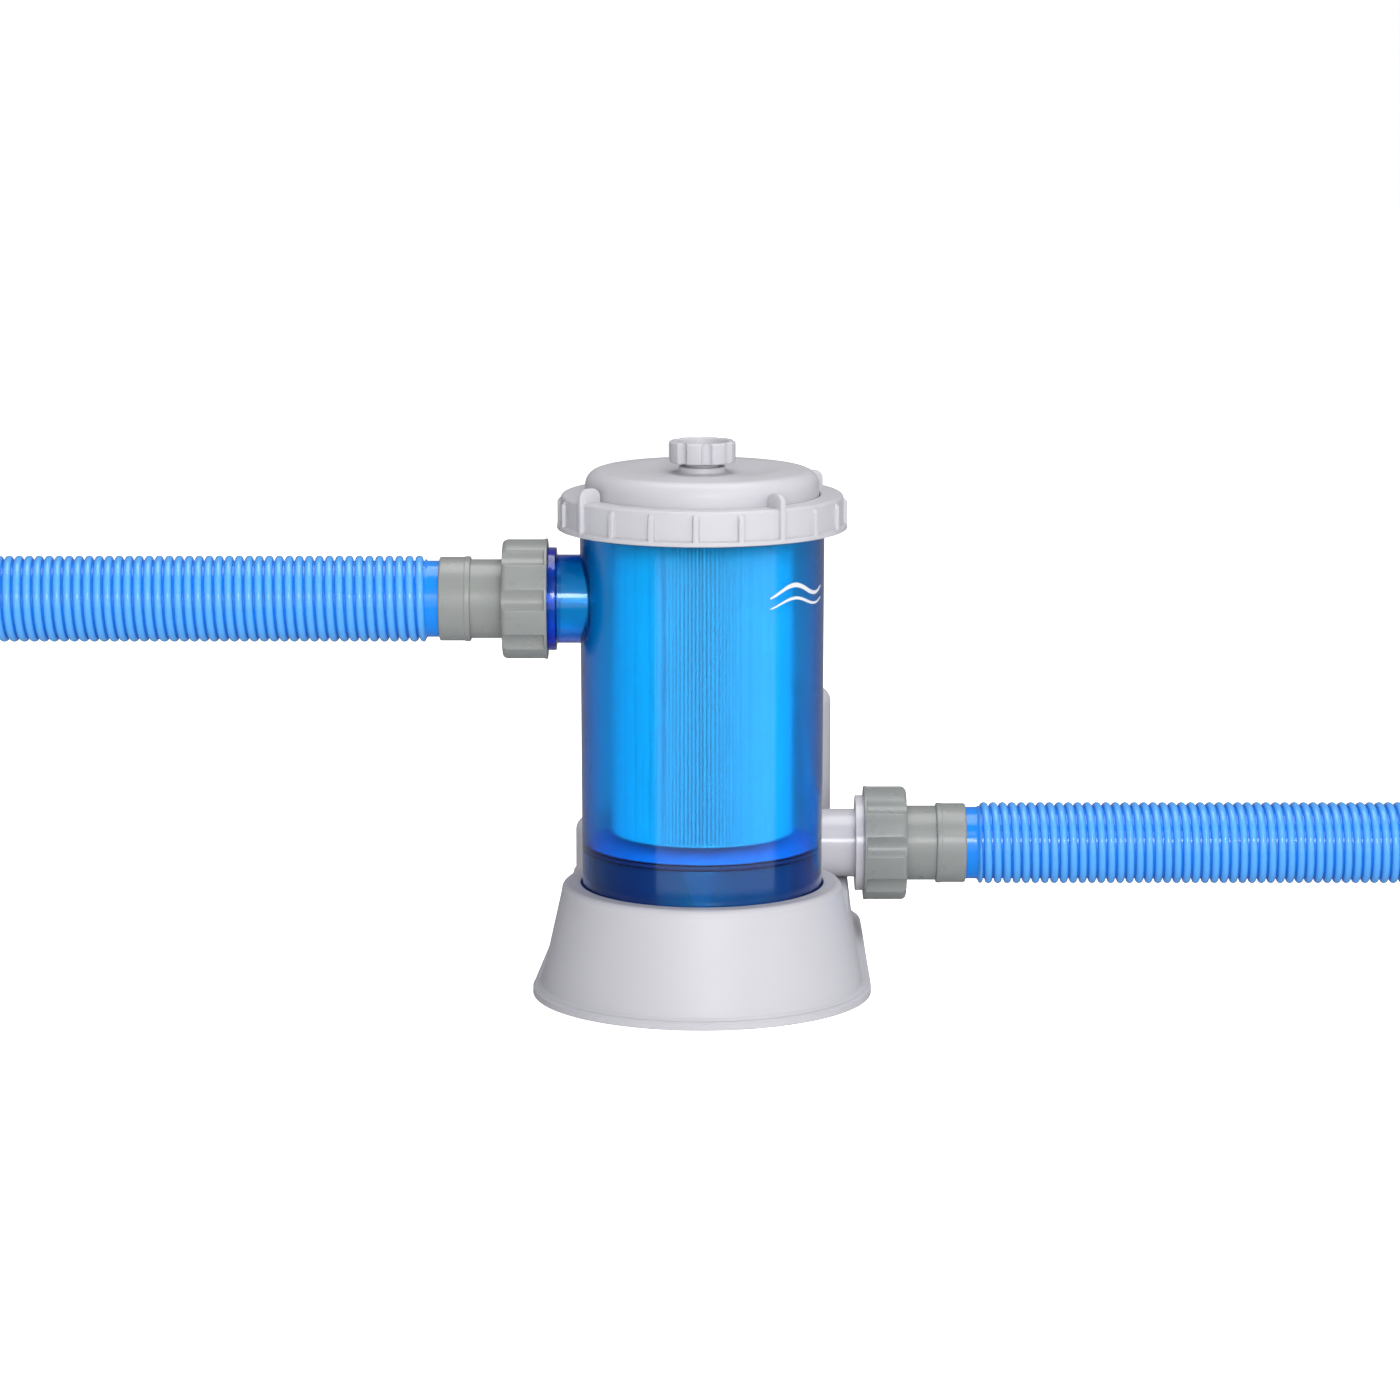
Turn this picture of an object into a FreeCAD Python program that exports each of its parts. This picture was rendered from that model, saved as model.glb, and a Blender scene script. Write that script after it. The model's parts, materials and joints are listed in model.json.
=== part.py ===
"""Cartridge filter pump for an above-ground pool: see-through canister, unscrewing lid, canned-rotor pump.

Millimetres. The canister's axis is Z through the origin, the floor is z = 0, the inlet leaves along -X and
the outlet along +X behind the canister, and the front of the pump faces -Y.
"""
import FreeCAD, Part
import math
import os

V = FreeCAD.Vector
UP = V(0, 0, 1)

# ---- driving dimensions -------------------------------------------------------------------------------
WALL = 3.0                     # thickness of every moulded shell

# canister
CAN_FOOT_Z, CAN_SHOULDER_Z, CAN_RIM_Z = 52.0, 266.0, 281.0
CAN_R_FOOT, CAN_R_TOP = 68.4, 69.2
FLOOR_Z = 87.0                 # top of the partition that the cartridge stands over
NECK_R = 75.8                  # threaded neck under the lock ring, and the lid's flange
SEAL_R_IN, SEAL_R_OUT, SEAL_DEEP = 71.5, 73.9, 2.0
SPIGOT_R, SPIGOT_BORE = 13.2, 10.5
SPIGOT_Z = (62.0, 106.0)
SEAT_R, SEAT_Z = 20.0, 94.0    # shoulder that carries the cartridge
WEDGE_TOP, WEDGE_FOOT = 23.0, 8.0
LINER_R, LINER_FOOT_R = 61.0, 64.9   # dark sleeve inside the canister's foot

# cartridge, standard size III
CART_R, CART_LENGTH, CART_HOLE_R = 53.0, 203.0, 13.5
CAP_THICK = 4.0
MEDIA_R, CORE_R = 51.6, 28.0

# lid, lock ring and air valve
DOME_R, DOME_TOP_Z, LID_FLANGE = 66.1, 302.0, 3.6
BOSS_R, BOSS_TOP_Z = 13.2, 305.0
STUB_R, STUB_Z = 12.5, 290.0
RING_Z, RING_TOP_Z = 268.7, 288.0
RING_LIP_R, RING_R, RING_BORE_R, RING_HOLE_R = 82.0, 79.8, 76.6, 66.7
RIB_COUNT, RIB_WIDE, RIB_TURN = 20, 3.2, -2.5
RIB_Z = (270.0, 285.0)
LUG_COUNT, LUG_THICK, LUG_TURN, LUG_TOP_Z, LUG_DEEP = 4, 3.2, -56.8, 296.0, 14.0
KNOB_R, KNOB_Z, KNOB_HIGH, KNOB_FLUTES = 18.95, 306.0, 12.0, 8
STEM_R, STEM_BORE_R = 5.0, 5.2

# base: two round ends joined by straight sides, one under the canister and one under the motor
FRONT_END, REAR_END = V(0, 0, 0), V(5, 168, 0)
FLANGE_R = (97.1, 91.5)        # floor flange at the two ends
FLANGE_HIGH = 4.5
FOOT_R = (92.5, 86.5)          # wall just above the flange
DECK_Z, DECK_R = 36.0, (84.0, 82.8)
CONE_Z, CONE_R = 60.0, 80.2    # front cone under its rounded rim
COLLAR_Z, COLLAR_BORE = 64.0, 69.6
SOFT_EDGE = 1.6                # broken corners along the deck and where the wall meets the flange
LEDGE_BORE = 62.0

# motor and pump, on one upright axis behind the canister
MOTOR = V(28, 170, 0)
BLOCK = V(0, 170, 0)
BLOCK_R, BLOCK_TOP_Z = 76.5, 66.0
TOWER_R, TOWER_TOP_Z = 49.8, 147.0
CASING_R, CASING_Z = 42.0, (37.2, 78.6)
CAN_TOP_Z = 130.0              # closed end of the can over the rotor
SHAFT_R = 3.0
CAN_TUBE_R = 22.0              # thin-walled can between rotor and stator
STACK_Z = (88.0, 118.0)        # stator laminations
GLAND_Z, GLAND_BORE_R = 104.0, 4.2

# ports and unions
INLET_Z, INLET_COLLAR_X = 227.7, 82.3
OUTLET_Y, OUTLET_Z, OUTLET_COLLAR_X = 143.0, 56.9, 92.0
THREAD_R, THREAD_LONG, COLLAR_LONG = 28.65, 16.9, 5.0
INLET_PIPE_R, INLET_BORE_R = 25.1, 22.0
OUTLET_PIPE_R, OUTLET_BORE_R = 20.5, 16.5
NUT_R, NUT_LONG, NUT_BORE_R, NUT_FLUTES, NUT_TURN = 34.2, 25.6, 28.9, 8, 7.0
NECK_TUBE_R, NECK_END = 22.4, 43.5
CUFF_R, CUFF_END = 24.1, 61.4

# hoses: corrugated, 38 mm bore
HOSE_R, HOSE_BORE_R = 24.5, 19.0
HOSE_LONG = 300.0


# ---- helpers ------------------------------------------------------------------------------------------
def outline(points):
    """Closed wire in the XZ plane; a point given as (x, z, mid_x, mid_z) is reached by an arc."""
    edges, last = [], V(points[0][0], 0, points[0][1])
    for p in points[1:] + points[:1]:
        end = V(p[0], 0, p[1])
        if len(p) == 4:
            edges.append(Part.Arc(last, V(p[2], 0, p[3]), end).toShape())
        else:
            edges.append(Part.LineSegment(last, end).toShape())
        last = end
    return Part.Wire(edges)


def turned(points):
    """Solid of revolution about Z from an outline of radius and height."""
    return Part.Face(outline(points)).revolve(V(0, 0, 0), UP, 360)


def rod(r, z0, z1, at=V(0, 0, 0)):
    return Part.makeCylinder(r, z1 - z0, V(at.x, at.y, z0), UP)


def ring(r_out, r_in, z0, z1, at=V(0, 0, 0)):
    return rod(r_out, z0, z1, at).cut(rod(r_in, z0 - 1, z1 + 1, at))


def block(size, corner):
    return Part.makeBox(size[0], size[1], size[2], V(*corner))


def around(shape, count, start=0.0, centre=V(0, 0, 0)):
    """Copies of a shape turned about a vertical axis."""
    copies = []
    for k in range(count):
        one = shape.copy()
        one.rotate(centre, UP, start + 360.0 * k / count)
        copies.append(one)
    return copies


def fused(shapes):
    return shapes[0].multiFuse(shapes[1:]).removeSplitter()


def along_x(shape, side, x, y, z):
    """Takes a shape built outward along +Z to a port that faces side * X, with its origin at x."""
    placed = shape.copy()
    placed.rotate(V(0, 0, 0), V(0, 1, 0), 90)
    if side < 0:
        placed.rotate(V(0, 0, 0), UP, 180)
    placed.translate(V(side * x, y, z))
    return placed


def save(name, shape):
    shape.exportStep("parts/%s.step" % name)
    print("%-22s %9.0f mm3  valid %s" % (name, shape.Volume, shape.isValid()))


# ---- canister -----------------------------------------------------------------------------------------
def port_pipe(pipe_r, start, collar):
    """Pipe, collar and male thread of a port, built along +Z with the collar's outer face at 0."""
    pipe = rod(pipe_r, start, -collar)
    return pipe.fuse(rod(THREAD_R, -collar, THREAD_LONG))


def canister():
    inside, foot_in = CAN_R_TOP - WALL, CAN_R_FOOT - WALL
    body = turned([
        (foot_in, CAN_FOOT_Z), (CAN_R_FOOT, CAN_FOOT_Z), (CAN_R_TOP, CAN_SHOULDER_Z),
        (NECK_R, CAN_SHOULDER_Z + 6), (NECK_R, CAN_RIM_Z), (SEAL_R_OUT, CAN_RIM_Z),
        (SEAL_R_OUT, CAN_RIM_Z - SEAL_DEEP), (SEAL_R_IN, CAN_RIM_Z - SEAL_DEEP), (SEAL_R_IN, CAN_RIM_Z),
        (inside, CAN_RIM_Z), (inside, CAN_SHOULDER_Z), (foot_in, FLOOR_Z), (SEAT_R, FLOOR_Z),
        (SEAT_R, SEAT_Z), (SPIGOT_R, SEAT_Z), (SPIGOT_R, SPIGOT_Z[1]), (SPIGOT_BORE, SPIGOT_Z[1]),
        (SPIGOT_BORE, SPIGOT_Z[0]), (SPIGOT_R, SPIGOT_Z[0]), (SPIGOT_R, FLOOR_Z - WALL),
        (foot_in, FLOOR_Z - WALL)])
    wedge = Part.Face(outline([(-WEDGE_FOOT / 2, CAN_FOOT_Z + 10), (WEDGE_FOOT / 2, CAN_FOOT_Z + 10),
                               (WEDGE_TOP / 2, FLOOR_Z - 1), (-WEDGE_TOP / 2, FLOOR_Z - 1)]))
    wedge = wedge.extrude(V(0, 4, 0))
    wedge.translate(V(0, -foot_in, 0))
    port = along_x(port_pipe(INLET_PIPE_R, -INLET_COLLAR_X - COLLAR_LONG + 62, COLLAR_LONG),
                   -1, INLET_COLLAR_X + COLLAR_LONG, 0, INLET_Z)
    shape = fused([body, port] + around(wedge, 4))
    cavity = turned([(SEAT_R + 2, FLOOR_Z + 2), (foot_in - 0.5, FLOOR_Z + 2), (inside - 0.5, CAN_RIM_Z - 10),
                     (SEAT_R + 2, CAN_RIM_Z - 10)])
    bore = along_x(rod(INLET_BORE_R, 0, 70), -1, 50, 0, INLET_Z)
    return shape.cut(cavity).cut(bore)


def canister_seal():
    return ring(SEAL_R_OUT - 0.2, SEAL_R_IN + 0.2, CAN_RIM_Z - SEAL_DEEP, CAN_RIM_Z)


def chamber_liner():
    inside, top = LINER_R - 2.4, FLOOR_Z - WALL - 0.5
    return turned([(inside, CAN_FOOT_Z), (LINER_FOOT_R, CAN_FOOT_Z), (LINER_FOOT_R, CAN_FOOT_Z + 2.5),
                   (LINER_R, CAN_FOOT_Z + 2.5), (LINER_R, top), (inside, top)])


# ---- cartridge ----------------------------------------------------------------------------------------
CART_TOP = SEAT_Z + CART_LENGTH


def cartridge_cap(z0):
    cap = ring(CART_R, CART_HOLE_R, z0, z0 + CAP_THICK)
    rims = [e for e in cap.Edges if abs(e.BoundBox.XMax - CART_R) < 0.01 and e.BoundBox.ZLength < 0.01]
    return cap.makeFillet(1.5, rims)


def cartridge_core():
    z0, z1 = SEAT_Z + CAP_THICK, CART_TOP - CAP_THICK
    tube = ring(CORE_R, CORE_R - 2, z0, z1)
    rows, gap = 6, 6.0
    high = (z1 - z0 - gap) / rows - gap
    for row in range(rows):
        window = block((CORE_R + 5, 9, high), (0, -4.5, z0 + gap + row * (high + gap)))
        for cutter in around(window, 6):
            tube = tube.cut(cutter)
    return tube


def cartridge_media():
    return ring(MEDIA_R, CORE_R, SEAT_Z + CAP_THICK, CART_TOP - CAP_THICK)


# ---- lid, lock ring and air valve -----------------------------------------------------------------------
def lid_cover():
    flange_z = CAN_RIM_Z + LID_FLANGE
    inner = DOME_R - WALL
    return turned([
        (inner, CAN_RIM_Z), (NECK_R, CAN_RIM_Z), (NECK_R, flange_z), (DOME_R, flange_z), (DOME_R, 289.0),
        (54.0, 301.0, 62.9, 297.2), (42.0, DOME_TOP_Z, 48.2, 301.9), (18.0, 300.2, 30.0, 300.8),
        (BOSS_R, 300.6, 15.4, 300.1), (BOSS_R, BOSS_TOP_Z - 0.8), (BOSS_R - 0.8, BOSS_TOP_Z),
        (STEM_BORE_R, BOSS_TOP_Z), (STEM_BORE_R, STUB_Z), (STUB_R, STUB_Z), (STUB_R, 297.6),
        (42.0, 298.9, 30.0, 297.9), (53.4, 298.1, 47.8, 298.7), (inner, 288.6, 60.4, 294.9)])


def lock_ring():
    body = turned([(RING_BORE_R, RING_Z), (RING_LIP_R, RING_Z), (RING_LIP_R, 271.4), (RING_R, 271.8),
                   (RING_R, RING_TOP_Z - 4), (RING_R - 4, RING_TOP_Z, RING_R - 1.17, RING_TOP_Z - 1.17),
                   (RING_HOLE_R, RING_TOP_Z), (RING_HOLE_R, RING_TOP_Z - 3.2),
                   (RING_BORE_R, RING_TOP_Z - 3.2)])
    rib_r = RING_LIP_R - 0.1
    rib = block((RIB_WIDE, 3.5, RIB_Z[1] - RIB_Z[0]), (-RIB_WIDE / 2, -rib_r, RIB_Z[0]))
    rib = rib.makeFillet(RIB_WIDE / 2 - 0.1, [e for e in rib.Edges
                                              if abs(e.CenterOfMass.z - RIB_Z[1]) < 0.01
                                              and abs(e.CenterOfMass.x) > 1])
    inner = RING_LIP_R - LUG_DEEP
    lug = Part.Face(outline([(inner, RING_TOP_Z - 1.5), (RING_LIP_R, RING_TOP_Z - 1.5),
                             (RING_LIP_R, LUG_TOP_Z - 5), (RING_LIP_R - 5, LUG_TOP_Z, 80.5, LUG_TOP_Z - 1.5),
                             (inner + 8, LUG_TOP_Z), (inner, RING_TOP_Z, 70.3, 293.6)]))
    lug = lug.extrude(V(0, LUG_THICK, 0))
    lug.translate(V(0, -LUG_THICK / 2, 0))
    post = block((5, LUG_THICK, RING_TOP_Z - RING_Z), (RING_LIP_R - 5, -LUG_THICK / 2, RING_Z))
    lugs = around(lug.fuse(post), LUG_COUNT, -90 + LUG_TURN)
    keep = [r for r in around(rib, RIB_COUNT, RIB_TURN)]
    return fused([body] + keep + lugs).cut(rod(RING_BORE_R, RING_Z - 1, RING_TOP_Z - 3.2))


def valve_knob():
    top = KNOB_Z + KNOB_HIGH
    body = turned([(STEM_R + 0.05, KNOB_Z), (KNOB_R - 0.8, KNOB_Z), (KNOB_R, KNOB_Z + 0.8),
                   (KNOB_R, top - 1.5), (KNOB_R - 1.5, top, KNOB_R - 0.44, top - 0.44),
                   (KNOB_R - 3.6, top), (KNOB_R - 5.2, KNOB_Z + 3.2), (STEM_R + 0.05, KNOB_Z + 3.2)])
    groove = rod(2.4, KNOB_Z - 1, top + 1, V(0, -KNOB_R - 0.5, 0))
    for cutter in around(groove, KNOB_FLUTES, 8.0):
        body = body.cut(cutter)
    return body


def valve_stem():
    return turned([(0, 291.0), (STEM_R - 1, 291.0), (STEM_R, 292.0), (STEM_R, 295.0), (3.7, 295.0),
                   (3.7, 297.4), (STEM_R, 297.4), (STEM_R, KNOB_Z + 3.3), (7.6, KNOB_Z + 3.3),
                   (7.6, KNOB_Z + 4.8), (5.2, KNOB_Z + 5.8), (0, KNOB_Z + 5.8)])


def valve_o_ring():
    return ring(STEM_BORE_R - 0.04, 3.75, 295.1, 297.3)


# ---- base -------------------------------------------------------------------------------------------------
def stadium(radii_low, z_low, radii_high, z_high):
    """Two cones and the straight-sided body between them."""
    cones, rows = [], []
    for centre, low, high in zip((FRONT_END, REAR_END), radii_low, radii_high):
        spot = V(centre.x, centre.y, z_low)
        if abs(low - high) < 1e-6:
            cones.append(Part.makeCylinder(low, z_high - z_low, spot, UP))
        else:
            cones.append(Part.makeCone(low, high, z_high - z_low, spot, UP))
    for (front, rear), z in ((radii_low, z_low), (radii_high, z_high)):
        corners = [V(-front, 0, z), V(front, 0, z), V(REAR_END.x + rear, REAR_END.y, z),
                   V(REAR_END.x - rear, REAR_END.y, z)]
        rows.append(Part.makePolygon(corners + corners[:1]))
    return fused(cones + [Part.makeLoft(rows, True, True)])


def screw_spots():
    """Bosses of the bottom plate: two at the front, two at the waist, three at the back."""
    spots = [V(82 * math.cos(math.radians(a)), 82 * math.sin(math.radians(a)), 0) for a in (-125, -55)]
    spots += [V(-76, 85, 0), V(81, 85, 0)]
    spots += [REAR_END + V(78 * math.cos(math.radians(a)), 78 * math.sin(math.radians(a)), 0)
              for a in (15, 90, 165)]
    return spots


def base_shell():
    flange = stadium(FLANGE_R, 0, FLANGE_R, FLANGE_HIGH - 1)
    bevel = stadium(FLANGE_R, FLANGE_HIGH - 1, [r - 1.5 for r in FLANGE_R], FLANGE_HIGH)
    slope = [(low - high) / (DECK_Z - FLANGE_HIGH) for low, high in zip(FOOT_R, DECK_R)]
    edge_z = DECK_Z - SOFT_EDGE
    at_edge = [r + SOFT_EDGE * s for r, s in zip(DECK_R, slope)]
    at_foot = [r - SOFT_EDGE * s for r, s in zip(FOOT_R, slope)]
    deck = stadium(FOOT_R, FLANGE_HIGH, at_edge, edge_z)
    shoulder = stadium(at_edge, edge_z, [r - SOFT_EDGE for r in DECK_R], DECK_Z)
    root = stadium([r + SOFT_EDGE for r in FOOT_R], FLANGE_HIGH, at_foot, FLANGE_HIGH + SOFT_EDGE)
    foot_in = [r - WALL for r in FOOT_R]
    deck_in = [r - WALL for r in DECK_R]
    hollow = stadium(foot_in, -1, foot_in, FLANGE_HIGH)
    hollow_deck = stadium(foot_in, FLANGE_HIGH, deck_in, DECK_Z - WALL)
    cone = turned([(0, FLANGE_HIGH), (FOOT_R[0], FLANGE_HIGH), (CONE_R, CONE_Z),
                   (CONE_R - 4.6, COLLAR_Z, CONE_R - 1.0, COLLAR_Z - 1.1), (0, COLLAR_Z)])
    cone_in = turned([(0, FLANGE_HIGH), (foot_in[0], FLANGE_HIGH), (CONE_R - WALL, CONE_Z),
                      (CONE_R - WALL - 1, COLLAR_Z - WALL), (0, COLLAR_Z - WALL)])
    shell = fused([flange, bevel, deck, shoulder, root, cone]).cut(hollow).cut(hollow_deck).cut(cone_in)
    ledge = ring(CONE_R + 0.5, LEDGE_BORE, CAN_FOOT_Z - WALL, CAN_FOOT_Z)
    sleeve = ring(COLLAR_BORE + WALL, COLLAR_BORE, CAN_FOOT_Z - WALL, COLLAR_Z - 1)
    bosses = [rod(5, 2.6, 24, spot) for spot in screw_spots()]
    shell = fused([shell, ledge, sleeve] + bosses).cut(rod(COLLAR_BORE, CAN_FOOT_Z, COLLAR_Z + 1))
    shell = shell.cut(rod(60, DECK_Z - WALL - 1, DECK_Z + 1, V(10, 172, 0)))
    for spot in screw_spots():
        shell = shell.cut(rod(1.6, 2, 18, spot))
    return shell


def bottom_plate():
    radii = [r - WALL - 0.3 for r in FOOT_R]
    plate = stadium(radii, 0, radii, 2.5)
    for spot in screw_spots():
        plate = plate.cut(rod(1.9, -1, 3, spot)).cut(rod(3.9, -1, 1.2, spot))
    return plate


def base_screws():
    screw = turned([(0, 0.1), (3.5, 0.1), (3.5, 1.15), (1.5, 1.15), (1.5, 14.0), (0, 15.5)])
    screws = []
    for spot in screw_spots():
        one = screw.copy()
        one.translate(spot)
        screws.append(one)
    return Part.makeCompound(screws)


def motor_housing():
    def dome(r, top, edge, centre):
        one = turned([(0, DECK_Z), (r, DECK_Z), (r, top - edge),
                      (r - edge, top, r - 0.293 * edge, top - 0.293 * edge), (0, top)])
        one.translate(centre)
        return one

    outer = dome(BLOCK_R, BLOCK_TOP_Z, 6, BLOCK).fuse(dome(TOWER_R, TOWER_TOP_Z, 8, MOTOR))
    inner = dome(BLOCK_R - WALL, BLOCK_TOP_Z - WALL, 4, BLOCK)
    inner = inner.fuse(dome(TOWER_R - WALL, TOWER_TOP_Z - WALL, 6, MOTOR))
    shell = outer.cut(inner)
    way_out = along_x(rod(OUTLET_PIPE_R + 0.3, 0, 90), 1, MOTOR.x, OUTLET_Y, OUTLET_Z)
    gland_hole = Part.makeCylinder(8.1, 20, V(MOTOR.x, MOTOR.y + 40, GLAND_Z), V(0, 1, 0))
    return shell.cut(way_out).cut(gland_hole)


def cable_gland():
    gland = turned([(GLAND_BORE_R, 0), (9.0, 0), (9.0, 1.3), (8.0, 1.3), (8.0, 6.4), (10.5, 6.4),
                    (10.5, 9.4), (6.2, 22), (GLAND_BORE_R, 22)])
    gland.rotate(V(0, 0, 0), V(1, 0, 0), -90)
    gland.translate(V(MOTOR.x, MOTOR.y + TOWER_R - WALL - 2.5, GLAND_Z))
    return gland


# ---- pump and motor ---------------------------------------------------------------------------------------
def at_motor(shape):
    moved = shape.copy()
    moved.translate(MOTOR)
    return moved


def pump_casing():
    low, high = CASING_Z
    reach = OUTLET_COLLAR_X + COLLAR_LONG - MOTOR.x
    outlet = along_x(port_pipe(OUTLET_PIPE_R, -reach, COLLAR_LONG),
                     1, OUTLET_COLLAR_X + COLLAR_LONG, OUTLET_Y, OUTLET_Z)
    stub = rod(17, 30, low + 1, MOTOR)
    shape = fused([rod(CASING_R, low, high, MOTOR), outlet, stub])
    shape = shape.cut(rod(CASING_R - 3.5, low + WALL, high + 1, MOTOR))
    bore = along_x(rod(OUTLET_BORE_R, 0, 120), 1, MOTOR.x + 4, OUTLET_Y, OUTLET_Z)
    groove = ring(CASING_R - 0.9, CASING_R - 2.7, high - 1.4, high + 1, MOTOR)
    return shape.cut(bore).cut(rod(14, 20, high, MOTOR)).cut(groove)


def casing_seal():
    return ring(CASING_R - 1.0, CASING_R - 2.6, CASING_Z[1] - 1.4, CASING_Z[1], MOTOR)


def rotor_can():
    z0, z1 = CASING_Z[1], CAN_TOP_Z
    return at_motor(turned([(20.5, z0), (CASING_R, z0), (CASING_R, z0 + 2.6), (CAN_TUBE_R, z0 + 2.6),
                            (CAN_TUBE_R, z1), (0, z1), (0, z1 - 1.5), (6.6, z1 - 1.5), (6.6, z1 - 7),
                            (8.1, z1 - 7), (8.1, z1 - 1.5), (20.5, z1 - 1.5)]))


def bearing_plate():
    z0 = CASING_Z[1]
    return at_motor(turned([(6.6, z0), (20.4, z0), (20.4, z0 + 2), (9, z0 + 2), (9, z0 + 5), (6.6, z0 + 5)]))


def bush(z0):
    return ring(6.5, SHAFT_R + 0.05, z0, z0 + 5, MOTOR)


def rotor_shaft():
    return rod(SHAFT_R, 46, CAN_TOP_Z - 2.5, MOTOR)


def impeller():
    z0 = 46.0
    hub = rod(8, z0, z0 + 22)
    disc = rod(32, z0 + 9, z0 + 12)
    vane = Part.Face(outline([(6, z0 + 2), (31.5, z0 + 4), (31.5, z0 + 10), (6, z0 + 10)]))
    vane = vane.extrude(V(0, 2.4, 0))
    vane.rotate(V(6, 0, 0), UP, 18)
    shape = fused([hub, disc] + around(vane, 6))
    return at_motor(shape.cut(rod(SHAFT_R, z0 - 1, z0 + 23)))


def rotor_magnet():
    return ring(19.6, SHAFT_R, 85.0, 121.5, MOTOR)


def stator_core():
    z0, z1 = STACK_Z
    yoke = ring(44, 37, z0, z1)
    pole = block((16, 12, z1 - z0), (22, -6, z0)).cut(rod(CAN_TUBE_R + 0.3, z0 - 1, z1 + 1))
    return at_motor(fused([yoke] + around(pole, 4, 45)))


def stator_coils():
    z0, z1 = STACK_Z
    middle = (z0 + z1) / 2
    outer = block((8, 24, z1 - z0 + 10), (26, -12, z0 - 5))
    coil = outer.cut(block((10, 12.4, z1 - z0 + 0.4), (25, -6.2, z0 - 0.2)))
    coil = coil.makeFillet(3, [e for e in coil.Edges if abs(abs(e.CenterOfMass.y) - 12) < 0.01
                               and abs(e.CenterOfMass.z - middle) > 19])
    return at_motor(Part.makeCompound(around(coil, 4, 45)))


def suction_duct():
    run_z, r, bore = 17.0, 12.0, 10.0
    run = V(MOTOR.x, MOTOR.y, 0)

    def pipe(radius, top_can, top_pump):
        pieces = [rod(radius, run_z, top_can), rod(radius, run_z, top_pump, MOTOR),
                  Part.makeCylinder(radius, run.Length, V(0, 0, run_z), run)]
        pieces += [Part.makeSphere(radius, V(c.x, c.y, run_z)) for c in (V(0, 0, 0), MOTOR)]
        return fused(pieces)

    outer = pipe(r, 62, 35).fuse(rod(16.5, 58, 76)).fuse(rod(13.8, 27, 35, MOTOR))
    return outer.cut(pipe(bore, 70, 40)).cut(rod(SPIGOT_R + 0.2, SPIGOT_Z[0] - 0.2, 80)) \
                .cut(rod(15.2, 72, 80))


def duct_o_ring():
    return ring(15.1, SPIGOT_R + 0.05, 72.1, 75.0)


# ---- unions and hoses, built along +Z from the collar's outer face ------------------------------------------
def union_nut(turn):
    relief = THREAD_LONG - 0.4
    body = turned([(NUT_BORE_R, 0), (NUT_R - 0.5, 0), (NUT_R, 0.5), (NUT_R, NUT_LONG - 3),
                   (NUT_R - 3, NUT_LONG, NUT_R - 0.88, NUT_LONG - 0.88), (NECK_TUBE_R + 0.05, NUT_LONG),
                   (NECK_TUBE_R + 0.05, NUT_LONG - 3.5), (NUT_BORE_R + 0.7, NUT_LONG - 3.5),
                   (NUT_BORE_R + 0.7, relief), (NUT_BORE_R, relief)])
    cutter_r, half = 9.0, math.radians(10)
    centre = NUT_R * math.cos(half) + math.sqrt(cutter_r ** 2 - (NUT_R * math.sin(half)) ** 2)
    flute = rod(cutter_r, 1.6, NUT_LONG + 1, V(centre, 0, 0))
    for cutter in around(flute, NUT_FLUTES, turn):
        body = body.cut(cutter)
    return body


def washer():
    return ring(28.0, 17.5, THREAD_LONG, THREAD_LONG + 2)


def tailpiece():
    back = NUT_LONG - 3.6
    return turned([(16, THREAD_LONG + 2), (28.0, THREAD_LONG + 2), (28.0, back), (NECK_TUBE_R, back),
                   (NECK_TUBE_R, NECK_END), (HOSE_BORE_R - 0.1, NECK_END), (HOSE_BORE_R - 0.1, CUFF_END + 12),
                   (HOSE_BORE_R - 0.6, CUFF_END + 13), (16, CUFF_END + 13)])


def hose_cuff():
    mouth = 0.6
    return turned([(HOSE_BORE_R, NECK_END), (CUFF_R - mouth, NECK_END), (CUFF_R, NECK_END + mouth),
                   (CUFF_R, CUFF_END - mouth), (CUFF_R - mouth, CUFF_END), (HOSE_BORE_R, CUFF_END)])


def hose():
    start, end = V(0, 0, CUFF_END), V(0, 0, CUFF_END + HOSE_LONG)
    path = Part.Wire([Part.LineSegment(start, end).toShape()])
    tube = []
    for r in (HOSE_R, HOSE_BORE_R):
        circle = Part.Wire([Part.Circle(start, UP, r).toShape()])
        tube.append(path.makePipeShell([circle], True, False))
    shape = tube[0].cut(tube[1])
    section = math.pi * (HOSE_R ** 2 - HOSE_BORE_R ** 2)
    print("hose volume over section times length: %.4f" % (shape.Volume / section / HOSE_LONG))
    return shape


def port_set(prefix, side, x, y, z):
    """Union and hose at one port, with the same union turned round at the hose's far end."""
    far = x + 2 * CUFF_END + HOSE_LONG
    for name, shape in (("washer", washer()), ("tailpiece", tailpiece()), ("hose_cuff", hose_cuff())):
        save("%s_%s" % (prefix, name), along_x(shape, side, x, y, z))
        save("%s_far_%s" % (prefix, name), along_x(shape, -side, -far, y, z))
    save("%s_union_nut" % prefix, along_x(union_nut(-side * NUT_TURN), side, x, y, z))
    save("%s_far_union_nut" % prefix, along_x(union_nut(side * NUT_TURN), -side, -far, y, z))
    save("%s_hose" % prefix, along_x(hose(), side, x, y, z))


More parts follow.
